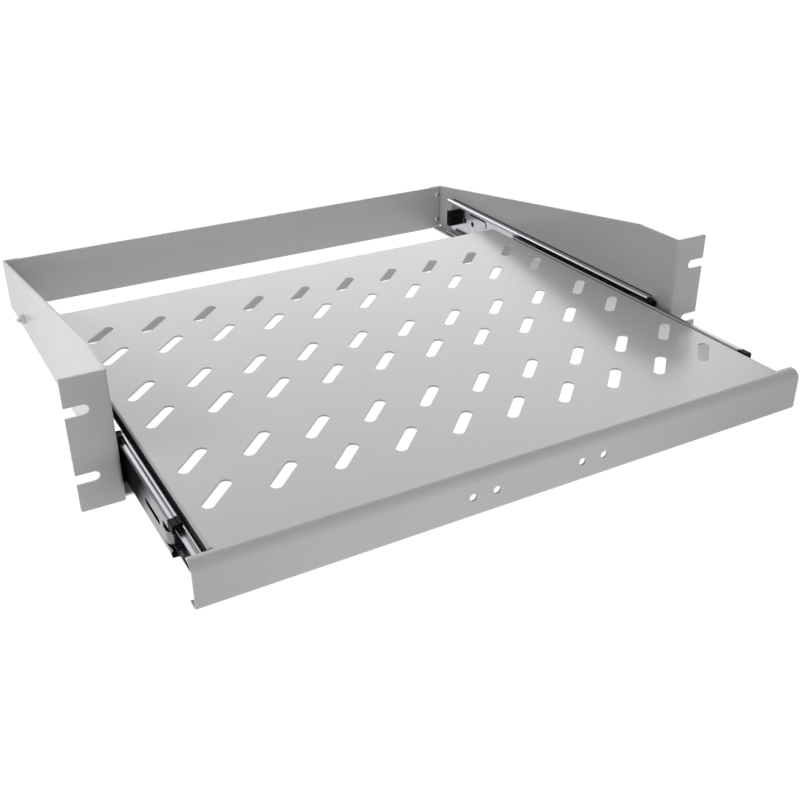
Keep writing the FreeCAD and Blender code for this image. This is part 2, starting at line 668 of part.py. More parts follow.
def deck_slots():
    angle = math.radians(SLOT_ANGLE)
    along = vector(math.cos(angle), math.sin(angle), 0)
    through = vector(0, 0, -3 * TRAY_SHEET)
    middle = (LIP_FRONT + TRAY_REAR) / 2
    columns = int(2 * TRAY_SIDE / SLOT_PITCH)
    pairs = int((TRAY_REAR - LIP_FRONT) / SLOT_PAIR_PITCH)
    cutters = []
    for pair in range(pairs):
        pair_y = middle + (pair - (pairs - 1) / 2) * SLOT_PAIR_PITCH
        for row in (-1, 1):
            y = pair_y + row * SLOT_PITCH / 2
            for column in range(columns):
                x = (column - (columns - 1) / 2) * SLOT_PITCH
                centre = vector(x, y, DECK_TOP + TRAY_SHEET)
                cutters.append(round_slot(SLOT_LENGTH, SLOT_WIDTH, centre, along, through))
    return cutters


def shelf_tray():
    tray = tray_outline()
    trim = TRAY_SIDE - TRAY_BEND - TRAY_SHEET
    wing_rear = LIP_FRONT + WING_DEPTH
    high = DECK_TOP + TRAY_SHEET
    flange_low = DECK_TOP - REAR_TRAY_FLANGE - TRAY_SHEET
    beside = box(trim, PLATE_OUT, wing_rear, TRAY_REAR + TRAY_SHEET, flange_low, high)
    relief_top = vector(trim, wing_rear + CORNER_RELIEF, high)
    relief = rod(CORNER_RELIEF, relief_top, vector(0, 0, -3 * TRAY_SHEET))
    flange = side_flange()
    tray = tray.cut([beside, mirrored(beside)])
    tray = join(tray, flange, mirrored(flange))
    tray = tray.cut([relief, mirrored(relief)] + deck_slots())
    for pair in (-1, 1):
        for hole in (-1, 1):
            x = pair * LIP_HOLE_SPAN / 2 + hole * LIP_HOLE_PITCH / 2
            start = vector(x, LIP_FRONT - TRAY_SHEET, LIP_BOTTOM + LIP_HOLE_RISE)
            tray = tray.cut(rod(LIP_HOLE / 2, start, vector(0, 3 * TRAY_SHEET, 0)))
    return tray


# Screws that hold an inner rail: pan head in the rail's channel, nut inside the tray
def shelf_screw(depth):
    seat = TRAY_SIDE + INNER_SHEET
    end = TRAY_SIDE - TRAY_SHEET - NUT_HEIGHT - SCREW_STICKOUT / 2
    head = rod(PAN_HEAD / 2, vector(seat, depth, SLIDE_Z), vector(PAN_HEAD_RISE, 0, 0))
    rim = [e for e in head.Edges if e.BoundBox.XMin > seat + PAN_HEAD_RISE / 2]
    head = head.makeChamfer(PAN_HEAD_RISE / 3, rim)
    return join(head, rod(SCREW / 2, vector(end, depth, SLIDE_Z), vector(seat - end, 0, 0)))


def build():
    os.makedirs("parts", exist_ok=True)
    save_pair("side_plate", side_plate())
    save("rear_crossbar", rear_crossbar())
    rivets = [rivet(sign * x, height) for x, height in rivet_places() for sign in (-1, 1)]
    save("crossbar_rivets", Part.makeCompound(rivets))

    save_pair("cabinet_rail", cabinet_rail())
    save_pair("fixing_screws", Part.makeCompound([fixing_screw(d, h) for d, h in fixing_places()]))
    save_pair("fixing_nuts", Part.makeCompound([hex_nut(PLATE_OUT, d, h) for d, h in fixing_places()]))
    save_pair("rail_front_piece", front_piece())
    save_pair("rear_bumper", rear_bumper())

    save_pair("middle_rail", middle_rail())
    save_pair("middle_end_pieces", middle_end_pieces())

    outer_span = cage_span(MIDDLE_TRAVEL, MIDDLE_OUT, CABINET_FRONT, MIDDLE_REAR)
    outer = (OUTER_BALL_RISE, OUTER_BALL_ACROSS, OUTER_BALL) + outer_span
    save_pair("outer_ball_cage", ball_cage(OUTER_CAGE_IN, *outer))
    save_pair("outer_balls", ball_rows(*outer))
    inner_span = cage_span(SHELF_TRAVEL, SHELF_OUT, MIDDLE_FRONT + NOSE_DEPTH, INNER_REAR)
    inner = (INNER_BALL_RISE, INNER_BALL_ACROSS, INNER_BALL) + inner_span
    save_pair("inner_ball_cage", ball_cage(INNER_CAGE_IN, *inner))
    save_pair("inner_balls", ball_rows(*inner))

    save("shelf_tray", shelf_tray())
    save_pair("inner_rail", inner_rail())
    save_pair("shelf_screws", Part.makeCompound([shelf_screw(d) for d in shelf_screw_places()]))
    nut_seat = TRAY_SIDE - TRAY_SHEET - NUT_HEIGHT
    nuts = [hex_nut(nut_seat, d, SLIDE_Z) for d in shelf_screw_places()]
    save_pair("shelf_nuts", Part.makeCompound(nuts))


build()
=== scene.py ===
# %% [markdown]
# # A pull-out rack shelf
# The part is a shelf for an equipment rack: a slotted tray of painted sheet steel that rolls out on two
# telescopic ball-bearing slides, inside a fixed frame that bolts to the rack by its ears. The solids come
# from the packed frame and already have the right shapes and places. This lesson gives each of them its
# real finish, adds the small hardware detail, and sets up a plain bright studio around it.

# %% Load the frame
import bmesh
import bpy
import json
import math
from mathutils import Matrix, Vector


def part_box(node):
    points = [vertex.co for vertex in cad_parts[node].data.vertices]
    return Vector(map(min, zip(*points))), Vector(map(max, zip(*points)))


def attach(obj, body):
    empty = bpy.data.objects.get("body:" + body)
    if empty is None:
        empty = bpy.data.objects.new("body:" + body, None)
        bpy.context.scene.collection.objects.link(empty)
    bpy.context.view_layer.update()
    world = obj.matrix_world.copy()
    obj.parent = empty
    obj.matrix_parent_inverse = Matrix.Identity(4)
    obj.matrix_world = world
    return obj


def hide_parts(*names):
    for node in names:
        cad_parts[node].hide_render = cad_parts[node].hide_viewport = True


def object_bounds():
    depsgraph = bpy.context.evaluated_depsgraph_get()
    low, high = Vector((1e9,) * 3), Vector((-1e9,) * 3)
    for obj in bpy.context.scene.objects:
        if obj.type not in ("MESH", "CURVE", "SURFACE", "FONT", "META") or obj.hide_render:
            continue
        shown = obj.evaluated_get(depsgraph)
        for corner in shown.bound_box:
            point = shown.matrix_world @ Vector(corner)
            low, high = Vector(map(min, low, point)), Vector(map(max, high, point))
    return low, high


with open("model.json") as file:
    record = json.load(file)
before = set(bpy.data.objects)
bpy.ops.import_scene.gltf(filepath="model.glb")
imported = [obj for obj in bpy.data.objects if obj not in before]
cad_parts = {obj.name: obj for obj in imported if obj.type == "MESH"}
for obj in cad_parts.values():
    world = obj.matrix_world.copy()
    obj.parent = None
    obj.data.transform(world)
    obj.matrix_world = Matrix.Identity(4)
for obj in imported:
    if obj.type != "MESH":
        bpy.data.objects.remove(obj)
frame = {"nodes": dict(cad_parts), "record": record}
cad_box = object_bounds()
nodes = frame["nodes"]
scene = bpy.context.scene
MM = 0.001

# %% [markdown]
# ## The camera
# A camera is placed by a point and three directions. They were found by fitting the panel width, the ears
# and the rows of slots to a picture of the real shelf, so the lens and the viewpoint are those of that
# picture. A matrix made from the three directions keeps the tiny roll that pointing at a target would
# lose.

# %% Camera
CAMERA_PLACE = Vector((-0.32300, -0.53226, 0.30115))
CAMERA_FORWARD = Vector((0.431578, 0.767545, -0.473935))
CAMERA_RIGHT = Vector((0.870508, -0.492135, -0.004312))
CAMERA_LENS = 46.048
SENSOR_WIDTH = 36.0
NEAREST_SEEN = 0.01

camera_data = bpy.data.cameras.new("camera")
camera_data.sensor_fit = "HORIZONTAL"
camera_data.sensor_width = SENSOR_WIDTH
camera_data.lens = CAMERA_LENS
camera_data.clip_start = NEAREST_SEEN
camera = bpy.data.objects.new("camera", camera_data)
forward = CAMERA_FORWARD.normalized()
right = (CAMERA_RIGHT - forward * CAMERA_RIGHT.dot(forward)).normalized()
up = right.cross(forward)
turn = Matrix((right, up, -forward)).transposed().to_4x4()
camera.matrix_world = Matrix.Translation(CAMERA_PLACE) @ turn
scene.collection.objects.link(camera)
bpy.context.scene.camera = camera
print("camera looks along", [round(v, 3) for v in forward])

# %% [markdown]
# ## Shader maths in plain Python
# A material is a graph of nodes. Writing every Math node by hand hides the idea behind it, so one small
# class wraps a socket and lets Python's own operators add the nodes. Any other node comes from a single
# function.

# %% The socket class
class Socket:
    def __init__(self, tree, socket):
        self.tree = tree
        self.socket = socket

    def math(self, operation, first, second):
        return node(self.tree, "ShaderNodeMath", {"operation": operation}, {0: first, 1: second})

    def __add__(self, other):
        return self.math("ADD", self, other)

    def __radd__(self, other):
        return self.math("ADD", other, self)

    def __sub__(self, other):
        return self.math("SUBTRACT", self, other)

    def __rsub__(self, other):
        return self.math("SUBTRACT", other, self)

    def __mul__(self, other):
        return self.math("MULTIPLY", self, other)

    def __rmul__(self, other):
        return self.math("MULTIPLY", other, self)

    def over(self, limit):
        return self.math("GREATER_THAN", self, limit)

    def smooth(self, low, high):
        """0 below low, 1 above high, and a soft step between."""
        return node(self.tree, "ShaderNodeMapRange", {"interpolation_type": "SMOOTHSTEP"},
                    {"Value": self, "From Min": low, "From Max": high})


def node(tree, kind, settings=None, inputs=None, output=0):
    """Add a node, set it, then fill its sockets with values or links, and return one of its outputs."""
    made = tree.nodes.new(kind)
    for name, value in (settings or {}).items():
        setattr(made, name, value)
    for name, value in (inputs or {}).items():
        if isinstance(value, Socket):
            tree.links.new(value.socket, made.inputs[name])
        else:
            made.inputs[name].default_value = value
    return Socket(tree, made.outputs[output])


print("socket operators:", [name for name in vars(Socket) if name.startswith("__r")])

# %% [markdown]
# A few small graphs come back again and again: where a point lies on its piece, how far that is from the
# middle, a soft window between two places, and a mix of two colours. The place could come from a UV map,
# but a bent sheet has none. Object coordinates are metres in the shelf's own frame, so a mask is given in
# real lengths, and it stays on its piece when the shelf moves.

# %% Places and colours
def place_on(tree):
    return node(tree, "ShaderNodeTexCoord", output="Object")


def along(tree, axis):
    return node(tree, "ShaderNodeSeparateXYZ", None, {0: place_on(tree)}, output=axis)


def size_of(value):
    return node(value.tree, "ShaderNodeMath", {"operation": "ABSOLUTE"}, {0: value})


def limited(value):
    return node(value.tree, "ShaderNodeClamp", None, {0: value})


def between(value, low, high, fade_in, fade_out):
    """1 between two limits, with a soft step inside each of them."""
    return (value - low).smooth(0.0, fade_in) * (high - value).smooth(0.0, fade_out)


def blend(tree, share, low, high):
    return node(tree, "ShaderNodeMix", {"data_type": "RGBA"}, {0: share, 6: low, 7: high}, output=2)


def grey(value):
    return (value, value, value, 1.0)


WHITE = grey(1.0)
print("white is", WHITE)

# %% [markdown]
# ## The studio
# A catalogue picture of sheet metal is lit mostly by what the metal mirrors. The camera, and every
# mirror, sees a white background. Stronger lamps could make it white too, but they would bleach the
# paint, so the background asks what kind of ray it is that meets it: the rays that light the shelf get
# less than half of that white.

# %% World
SKY_FILL = 0.44


def background_seen(tree):
    """1 for the camera's rays, and for those of mirrors and glass, which show the background too."""
    camera_ray = node(tree, "ShaderNodeLightPath", output="Is Camera Ray")
    mirror_ray = node(tree, "ShaderNodeLightPath", output="Is Glossy Ray")
    glass_ray = node(tree, "ShaderNodeLightPath", output="Is Transmission Ray")
    return limited(camera_ray + mirror_ray + glass_ray)


scene.view_settings.view_transform = "Standard"
world = bpy.data.worlds.new("studio")
world.use_nodes = True
scene.world = world
sky = world.node_tree
sky.nodes.clear()
strength = SKY_FILL + (1.0 - SKY_FILL) * background_seen(sky)
light = node(sky, "ShaderNodeBackground", None, {"Color": WHITE, "Strength": strength})
sky.links.new(light.socket, sky.nodes.new("ShaderNodeOutputWorld").inputs["Surface"])
print("the sky lights the shelf with", SKY_FILL, "of its white")

# %% [markdown]
# The shelf stands on a light table: the floor glows softly, which lights the ears and the lip from below
# and reaches the flanges under the tray. Its two front corners are masked, so the lip fades towards its
# ends. One patch below the tray's right edge is brighter, for the flange that shows through the slots
# there. The floor that the camera sees is nearly white all over, and keeps a trace of the shelf's shadow.

# %% Floor
FLOOR_HALF = 6.0
FLOOR_GAP = 0.5 * MM

floor_mesh = bpy.data.meshes.new("floor")
grid = bmesh.new()
bmesh.ops.create_grid(grid, x_segments=1, y_segments=1, size=FLOOR_HALF)
bmesh.ops.translate(grid, verts=grid.verts, vec=(0.0, 0.0, cad_box[0][2] - FLOOR_GAP))
grid.to_mesh(floor_mesh)
grid.free()
floor = bpy.data.objects.new("floor", floor_mesh)
scene.collection.objects.link(floor)
print("floor lies just below", round(cad_box[0][2], 4))

# %% Light table
FLOOR_COLOUR = grey(0.85)
FLOOR_WHITE = 0.90
TABLE_GLOW = 0.72
TABLE_STRENGTH = 1.08
CORNERS_MIDDLE = -0.05
CORNERS_ACROSS = (0.07, 0.27)
CORNERS_FORWARD = (0.10, 0.14)
CORNERS_SHADE = 0.9
PATCH_ACROSS = (0.09, 0.203, 0.04, 0.01)
PATCH_ALONG = (-0.09, 0.17, 0.06, 0.04)
PATCH_COLOUR = grey(1.75)

pale = bpy.data.materials.new("pale_floor")
pale.use_nodes = True
tree = pale.node_tree
tree.nodes.clear()
x = along(tree, "X")
y = along(tree, "Y")
corners = size_of(x - CORNERS_MIDDLE).smooth(*CORNERS_ACROSS) * (0.0 - y).smooth(*CORNERS_FORWARD)
patch = between(x, *PATCH_ACROSS) * between(y, *PATCH_ALONG)
table_light = TABLE_GLOW * (1.0 - CORNERS_SHADE * corners) + (1.0 - TABLE_GLOW) * patch
share = table_light + (FLOOR_WHITE - table_light) * background_seen(tree)
colour = blend(tree, patch * (1.0 - background_seen(tree)), WHITE, PATCH_COLOUR)
matt = node(tree, "ShaderNodeBsdfDiffuse", None, {"Color": FLOOR_COLOUR})
glow = node(tree, "ShaderNodeEmission", None, {"Color": colour, "Strength": TABLE_STRENGTH})
mixed = node(tree, "ShaderNodeMixShader", None, {0: share, 1: matt, 2: glow})
tree.links.new(mixed.socket, tree.nodes.new("ShaderNodeOutputMaterial").inputs["Surface"])
floor_mesh.materials.append(pale)
print("light table has", len(tree.nodes), "nodes")

# %% [markdown]
# A wide panel behind and to the right is what the deck mirrors towards the camera, so the deck is
# lightest at the rear and dark where it mirrors the right side plate instead. Three small lamps do the
# rest: one high on the left for the right plate, one low in front for the middle of the lip, and one
# close to the left plate for its outside. The last two would show as bright spots in the rails, so
# mirrors don't see them.

# %% Lamps
LAMPS = (
    # name, place, target, width, height, power, mirrored
    ("rear_panel", (1.05, 1.95, 1.15), (0.05, 0.05, 0.0), 2.4, 1.5, 21.5, True),
    ("high_lamp", (-1.50, 0.35, 1.10), (0.10, 0.10, 0.0), 0.8, 0.6, 4.2, True),
    ("front_lamp", (-0.07, -0.62, -0.01), (-0.05, 0.0, -0.025), 0.25, 0.06, 0.58, False),
    ("left_lamp", (-0.50, 0.06, 0.04), (-0.215, 0.08, 0.0), 0.22, 0.15, 0.40, False),
)


def softbox(name, place, target, width, height, power, mirrored):
    lamp = bpy.data.lights.new(name, "AREA")
    lamp.shape = "RECTANGLE"
    lamp.size = width
    lamp.size_y = height
    lamp.energy = power
    made = bpy.data.objects.new(name, lamp)
    aim = Vector(target) - Vector(place)
    made.matrix_world = Matrix.Translation(place) @ aim.to_track_quat("-Z", "Y").to_matrix().to_4x4()
    made.visible_camera = False
    made.visible_glossy = mirrored
    scene.collection.objects.link(made)


for row in LAMPS:
    softbox(*row)
print("lamps:", [row[0] for row in LAMPS])

# %% [markdown]
# ## The finishes
# Powder coat is a polymer skin with a faint orange-peel texture and a semi-gloss. Zinc plate on rolled
# strip is a soft mirror, drawn out in fine streaks along the rail, and carries painted shade and a painted
# dark reflection.
# Moulded plastic is nearly black with a fine grain. Bearing balls are clean polished steel, and rivets
# are plain aluminium. All of them are Principled shaders, fed by noise. A Bevel node rounds the shading
# at the sheets' sharp edges, which costs no geometry and keeps the solids as they are.

# %% Tools for a finish
def finish(name):
    made = bpy.data.materials.new(name)
    made.use_nodes = True
    tree = made.node_tree
    return made, tree, tree.nodes["Principled BSDF"]


def feed(shader, name, value):
    value.tree.links.new(value.socket, shader.inputs[name])


def noise(tree, scale, detail=2.0, stretch=None):
    """Noise in object space: scale counts grains in a metre, stretch squeezes it along the axes."""
    place = place_on(tree)
    if stretch:
        place = node(tree, "ShaderNodeMapping", None, {"Vector": place, "Scale": stretch})
    return node(tree, "ShaderNodeTexNoise", None, {"Vector": place, "Scale": scale, "Detail": detail})


def rounded(tree, radius):
    """The normal that a surface would have if its edges were rounded off."""
    return node(tree, "ShaderNodeBevel", {"samples": 4}, {"Radius": radius})


def bump(tree, height, strength, distance, edge):
    """Fine relief, on a normal that is rounded off at the sheet's edges."""
    return node(tree, "ShaderNodeBump", None, {"Height": height, "Strength": strength, "Distance": distance,
                                               "Normal": rounded(tree, edge)})


SHEET_EDGE = 0.3 * MM
RAIL_EDGE = 0.2 * MM
print("edges are rounded by", SHEET_EDGE, "on sheets and", RAIL_EDGE, "on rails")

# %% [markdown]
# Painted shade and painted highlights follow the shape. Shade is painted into gaps, which an Ambient
# Occlusion node finds: it measures how much of the sky a point sees within a short reach. A painted
# highlight, which partly stands for wear, brightens sharp edges, which show as the places where a rounded
# normal turns away from the true one. Which way a face looks tells the outside of a rail from its inside,
# and both sides of the shelf share that mask because it is mirrored about the middle.

# %% Painted shade and edge highlights
GAP_REACH = 6.0 * MM
# The colour of the painted shade in gaps and beside the rails, and of the painted dark reflection on the
# middle rails' webs.
PAINTED_DARK = (0.004, 0.004, 0.005, 1.0)


def open_sky(tree, reach):
    """1 on open faces, falling to 0 deep in a gap that is narrower than the reach."""
    return node(tree, "ShaderNodeAmbientOcclusion", {"samples": 8}, {"Distance": reach}, output="AO")


def edge_highlight_and_wear(tree, width):
    """1 on sharp edges and 0 on flat faces: where a painted edge highlight goes, which also stands for wear.
    """
    flat = node(tree, "ShaderNodeNewGeometry", output="True Normal")
    alike = node(tree, "ShaderNodeVectorMath", {"operation": "DOT_PRODUCT"},
                 {0: rounded(tree, width), 1: flat}, output="Value")
    return (1.0 - alike).smooth(0.02, 0.20)


def facing_out(tree):
    """1 where a face looks away from the middle of the shelf, -1 where it looks inwards."""
    normal = node(tree, "ShaderNodeTexCoord", output="Normal")
    across = node(tree, "ShaderNodeSeparateXYZ", None, {0: normal}, output="X")
    return across * node(tree, "ShaderNodeMath", {"operation": "SIGN"}, {0: along(tree, "X")})


# Gaps narrower than this reach get painted shade.
print("dirt settles in gaps narrower than", GAP_REACH)

# %% [markdown]
# ### Powder coat
# The coat is sprayed as a powder and baked, so its tone drifts a little in soft clouds and its surface
# keeps an orange peel. Shade is painted onto the tray's sides beside the slides, and onto the side plates
# behind the cabinet rails, where it shows through the holes of the rails and along their upper edge.
# Each of the two masks is given in lengths read from the frame, so it follows the sheet metal.

# %% Places of painted shade
TRAY_HALF = -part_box("left_inner_rail")[1][0]
LIP_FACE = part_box("shelf_tray")[0][1]
RAIL_LOW, RAIL_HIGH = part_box("right_cabinet_rail")
PAST_BEND = (TRAY_HALF - 0.6 * MM, TRAY_HALF - 0.2 * MM)
BEHIND_LIP = (LIP_FACE + 9.2 * MM, LIP_FACE + 10.2 * MM)
RAIL_INSET = 2.0 * MM
RAIL_GROOVE = 0.4 * MM


def beside_rails(tree):
    """Painted shade on the tray's sides, past the bend and behind the lip."""
    side = size_of(along(tree, "X")).smooth(*PAST_BEND)
    behind_lip = along(tree, "Y").smooth(*BEHIND_LIP)
    return side * behind_lip * facing_out(tree).smooth(0.0, 0.25)


def behind_rails(tree):
    """Painted shade on the inside of the side plates, where a cabinet rail covers it."""
    y = along(tree, "Y")
    z = along(tree, "Z")
    covered = y.over(RAIL_LOW[1] + RAIL_INSET) * (1.0 - y.over(RAIL_HIGH[1] - RAIL_INSET))
    covered = covered * z.over(RAIL_LOW[2] + RAIL_INSET) * (1.0 - z.over(RAIL_HIGH[2] - RAIL_GROOVE))
    return covered * (0.0 - facing_out(tree)).smooth(0.5, 0.9)


print("tray half width", round(TRAY_HALF, 5))

# %% Powder coat
COAT_DARK = (0.447, 0.438, 0.448, 1.0)
COAT_LIGHT = (0.477, 0.467, 0.478, 1.0)
COAT_EDGE_LIGHT = (0.76, 0.75, 0.76, 1.0)
COAT_EDGE_SHARE = 0.7
COAT_EDGE_WIDTH = 0.5 * MM
COAT_ROUGHNESS = 0.19
SHADE_ROUGHNESS = 0.7


def powder_coat(name, shade_mask, gap_reach=0.0):
    """Grey coat with a soft cloud and an orange peel, with painted shade where the mask says and in gaps
    within reach.
    """
    made, tree, shader = finish(name)
    peel = noise(tree, 900.0, 3.0)
    cloud = noise(tree, 9.0)
    smear = noise(tree, 60.0, 3.0)
    coat = blend(tree, cloud, COAT_DARK, COAT_LIGHT)
    # Sharp edges are painted lighter: a painted highlight, partly standing for wear.
    coat = blend(tree, COAT_EDGE_SHARE * edge_highlight_and_wear(tree, COAT_EDGE_WIDTH), coat, COAT_EDGE_LIGHT)
    # The places of the mask and the narrow gaps get painted shade.
    undarkened = 1.0 - shade_mask(tree)
    if gap_reach:
        undarkened = undarkened * open_sky(tree, gap_reach).smooth(0.02, 0.25)
    feed(shader, "Base Color", blend(tree, undarkened, PAINTED_DARK, coat))
    feed(shader, "Roughness", COAT_ROUGHNESS + 0.07 * smear + SHADE_ROUGHNESS * (1.0 - undarkened))
    feed(shader, "Normal", bump(tree, peel, 0.20, 0.14 * MM, SHEET_EDGE))
    return made


paint = powder_coat("grey_powder_coat", behind_rails)
tray_paint = powder_coat("tray_powder_coat", beside_rails, GAP_REACH)
print("coats:", paint.name, tray_paint.name)

# %% [markdown]
# ### Zinc plate and painted dark
# Rails are rolled from plated strip, so both the tone and the gloss are drawn out along the rail. One
# noise that is squeezed across the rail gives those streaks. A second, nearly black layer is painted on
# and takes away the metal: on the middle rail it is a painted dark reflection on the outer face of its
# web, thick behind and thin towards the nose, and on the cabinet rail it is painted shade on the inner
# face of its lips, as far back as the middle rail reaches.

# %% Painted dark on the rails
WEB_LOW, WEB_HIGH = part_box("left_middle_rail")
WEB_HEIGHT = WEB_HIGH[2] - WEB_LOW[2]
DARK_WEB_RUN = 70.0 * MM
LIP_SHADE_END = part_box("right_middle_rail")[1][1]
LIP_SHADE_FADE = 10.0 * MM
LIP_INSIDE = RAIL_LOW[0] + 0.8 * MM


def streaks(tree):
    return noise(tree, 220.0, 4.0, (9.0, 0.22, 9.0))


def web_dark_reflection(tree):
    """A painted dark reflection, thick on the upper outer face of the middle rail's web, thin towards its
    foot and its nose.
    """
    web = facing_out(tree).smooth(0.80, 0.97)
    rise = (along(tree, "Z") - WEB_LOW[2]) * (1.0 / WEB_HEIGHT)
    back = limited((along(tree, "Y") - WEB_LOW[1]) * (1.0 / DARK_WEB_RUN))
    spread = rise * 0.35 + back + (streaks(tree) - 0.5) * 0.25
    return web * spread.smooth(0.60, 1.00)


def lip_shade(tree):
    """Painted shade on the inner face of the cabinet rail's lips."""
    lip = (LIP_INSIDE - size_of(along(tree, "X"))).smooth(0.0, 0.3 * MM)
    reached = (LIP_SHADE_END - along(tree, "Y")).smooth(0.0, LIP_SHADE_FADE)
    return lip * reached * (0.0 - facing_out(tree)).smooth(0.70, 0.85)


# The painted shade on the cabinet rails' lips ends here.
print("grease on the lips ends at", round(LIP_SHADE_END, 4))

# %% Zinc plate
SLIDE_DARK = (0.21, 0.206, 0.225, 1.0)
SLIDE_LIGHT = (0.29, 0.285, 0.305, 1.0)
RIDGE_REACH = 2.0 * MM
# Roughness and sheen of the painted dark places on zinc.
DARK_ROUGHNESS = 0.4
DARK_SHINE = 0.02


def plated(name, dark, light, roughness, dark_mask=None, gap_reach=GAP_REACH):
    """Zinc plate: streaks along the rail in colour and relief, painted shade in the gaps, and a painted dark
    layer.
    """
    made, tree, shader = finish(name)
    streak = streaks(tree)
    cloud = noise(tree, 40.0, 3.0)
    # Painted shade in the gaps and the painted dark layer of the mask both take the metal away.
    undarkened = open_sky(tree, gap_reach).smooth(0.05, 0.35)
    if dark_mask:
        undarkened = undarkened * (1.0 - dark_mask(tree))
    zinc = blend(tree, streak * 0.7 + cloud * 0.3, dark, light)
    feed(shader, "Base Color", blend(tree, undarkened, PAINTED_DARK, zinc))
    feed(shader, "Metallic", undarkened)
    feed(shader, "Roughness", roughness + 0.10 * cloud + DARK_ROUGHNESS * (1.0 - undarkened))
    feed(shader, "Normal", bump(tree, streak, 0.06, 0.08 * MM, RAIL_EDGE))
    shader.inputs["Specular IOR Level"].default_value = DARK_SHINE
    return made


rail_zinc = plated("rail_zinc", (0.46, 0.46, 0.49, 1.0), (0.56, 0.56, 0.59, 1.0), 0.10, lip_shade)
middle_zinc = plated("middle_zinc", SLIDE_DARK, SLIDE_LIGHT, 0.20, web_dark_reflection, RIDGE_REACH)
inner_zinc = plated("inner_zinc", SLIDE_DARK, SLIDE_LIGHT, 0.20)
cage_zinc = plated("cage_zinc", (0.20, 0.20, 0.21, 1.0), (0.28, 0.28, 0.29, 1.0), 0.24)
fastener_zinc = plated("fastener_zinc", (0.55, 0.55, 0.57, 1.0), (0.68, 0.68, 0.70, 1.0), 0.16)
rivet_metal = plated("rivet_aluminium", (0.50, 0.50, 0.51, 1.0), (0.60, 0.60, 0.61, 1.0), 0.28)
print("metals:", [made.name for made in bpy.data.materials if "zinc" in made.name or "rivet" in made.name])

# %% [markdown]
# ### Balls and plastic
# The balls are hardened steel, ground and polished, so they are the cleanest mirrors on the shelf. The
# end pieces are moulded in black plastic. What one sees of a black moulding is mostly its edges, which
# get a painted dark grey highlight that also stands for scuffs, and a dull sheen that a fine grain breaks up.

# %% Balls and plastic
BALL_DARK = (0.60, 0.60, 0.62, 1.0)
BALL_LIGHT = (0.68, 0.68, 0.70, 1.0)
PLASTIC_DARK = (0.003, 0.003, 0.004, 1.0)
PLASTIC_LIGHT = (0.006, 0.006, 0.007, 1.0)
PLASTIC_EDGE_LIGHT = (0.20, 0.20, 0.21, 1.0)
PLASTIC_EDGE_SHARE = 0.4
PLASTIC_EDGE_WIDTH = 0.3 * MM
PLASTIC_SHINE = 0.06

ball_steel, tree, shader = finish("ball_steel")
feed(shader, "Base Color", blend(tree, noise(tree, 300.0), BALL_DARK, BALL_LIGHT))
feed(shader, "Roughness", 0.05 + 0.05 * noise(tree, 500.0))
shader.inputs["Metallic"].default_value = 1.0

plastic, tree, shader = finish("black_plastic")
grain = noise(tree, 2500.0, 3.0)
moulded = blend(tree, grain, PLASTIC_DARK, PLASTIC_LIGHT)
# Sharp edges are painted dark grey: a painted highlight, partly standing for scuffs.
edge_light = PLASTIC_EDGE_SHARE * edge_highlight_and_wear(tree, PLASTIC_EDGE_WIDTH)
feed(shader, "Base Color", blend(tree, edge_light, moulded, PLASTIC_EDGE_LIGHT))
feed(shader, "Roughness", 0.40 + 0.14 * noise(tree, 400.0))
feed(shader, "Normal", bump(tree, grain, 0.15, 0.06 * MM, SHEET_EDGE))
shader.inputs["Specular IOR Level"].default_value = PLASTIC_SHINE
print("black plastic has", len(tree.nodes), "nodes")

# %% [markdown]
# Every row of the packed record names a node and the slot that its finish comes from. Three kinds of
# piece need a finish of their own within a slot: the tray, because its painted shade lies elsewhere than
# the frame's, and the middle and inner rails, which are a darker zinc than the cabinet rails.

# %% Each node gets its finish
SIDES = {"left": -1.0, "right": 1.0}
FINISH_OF_SLOT = {"grey_paint": paint, "zinc_plate": rail_zinc, "cage_steel": cage_zinc,
                  "ball_steel": ball_steel, "black_plastic": plastic, "fastener_zinc": fastener_zinc,
                  "rivet_aluminium": rivet_metal}
FINISH_OF_NODE = {"shelf_tray": tray_paint}
for side in SIDES:
    FINISH_OF_NODE[side + "_middle_rail"] = middle_zinc
    FINISH_OF_NODE[side + "_inner_rail"] = inner_zinc

for row in frame["record"]["subparts"]:
    piece = nodes[row["node"]]
    piece.data.materials.clear()
    piece.data.materials.append(FINISH_OF_NODE.get(row["node"], FINISH_OF_SLOT[row["material_slot"]]))
print("finishes:", sorted(FINISH_OF_SLOT), "and of their own:", sorted(FINISH_OF_NODE))

# %% [markdown]
# ## Screws, nuts and rivets
# The solids carry plain screws, nuts and rivets in the right places. On the real shelf they are M4 screws
# with a cross recess and a rolled thread, pressed hexagon nuts with a turned chamfer, and blind rivets
# whose broken mandrel shows as a dimple. All of them are round bodies, so one helper sweeps a circle of
# edges from ring to ring, the way a lathe tool travels along the work. A nut is the same sweep with six
# flat sides. They are drawn in millimetres, and where each one sits is read from its own solid, so
# nothing has to be fitted by eye.

# %% Where the fasteners sit
WELD = 1e-7


def solids_in(name):
    """The lowest and highest corner of each separate solid of a node, in millimetres."""
    copy = bmesh.new()
    copy.from_mesh(nodes[name].data)
    bmesh.ops.remove_doubles(copy, verts=copy.verts, dist=WELD)
    boxes = []
    walked = set()
    for start in copy.verts:
        if start in walked:
            continue
        walked.add(start)
        island = [start]
        for vert in island:
            for edge in vert.link_edges:
                other = edge.other_vert(vert)
                if other not in walked:
                    walked.add(other)
                    island.append(other)
        low = [min(v.co[axis] for v in island) / MM for axis in range(3)]
        high = [max(v.co[axis] for v in island) / MM for axis in range(3)]
        boxes.append((low, high))
    copy.free()
    return boxes


print("fixing screws sit at", [[round(v, 2) for v in low] for low, high in solids_in("right_fixing_screws")])

# %% Turned bodies
HALF_TURN = math.pi
NUT_CHAMFER = math.tan(math.radians(30.0))


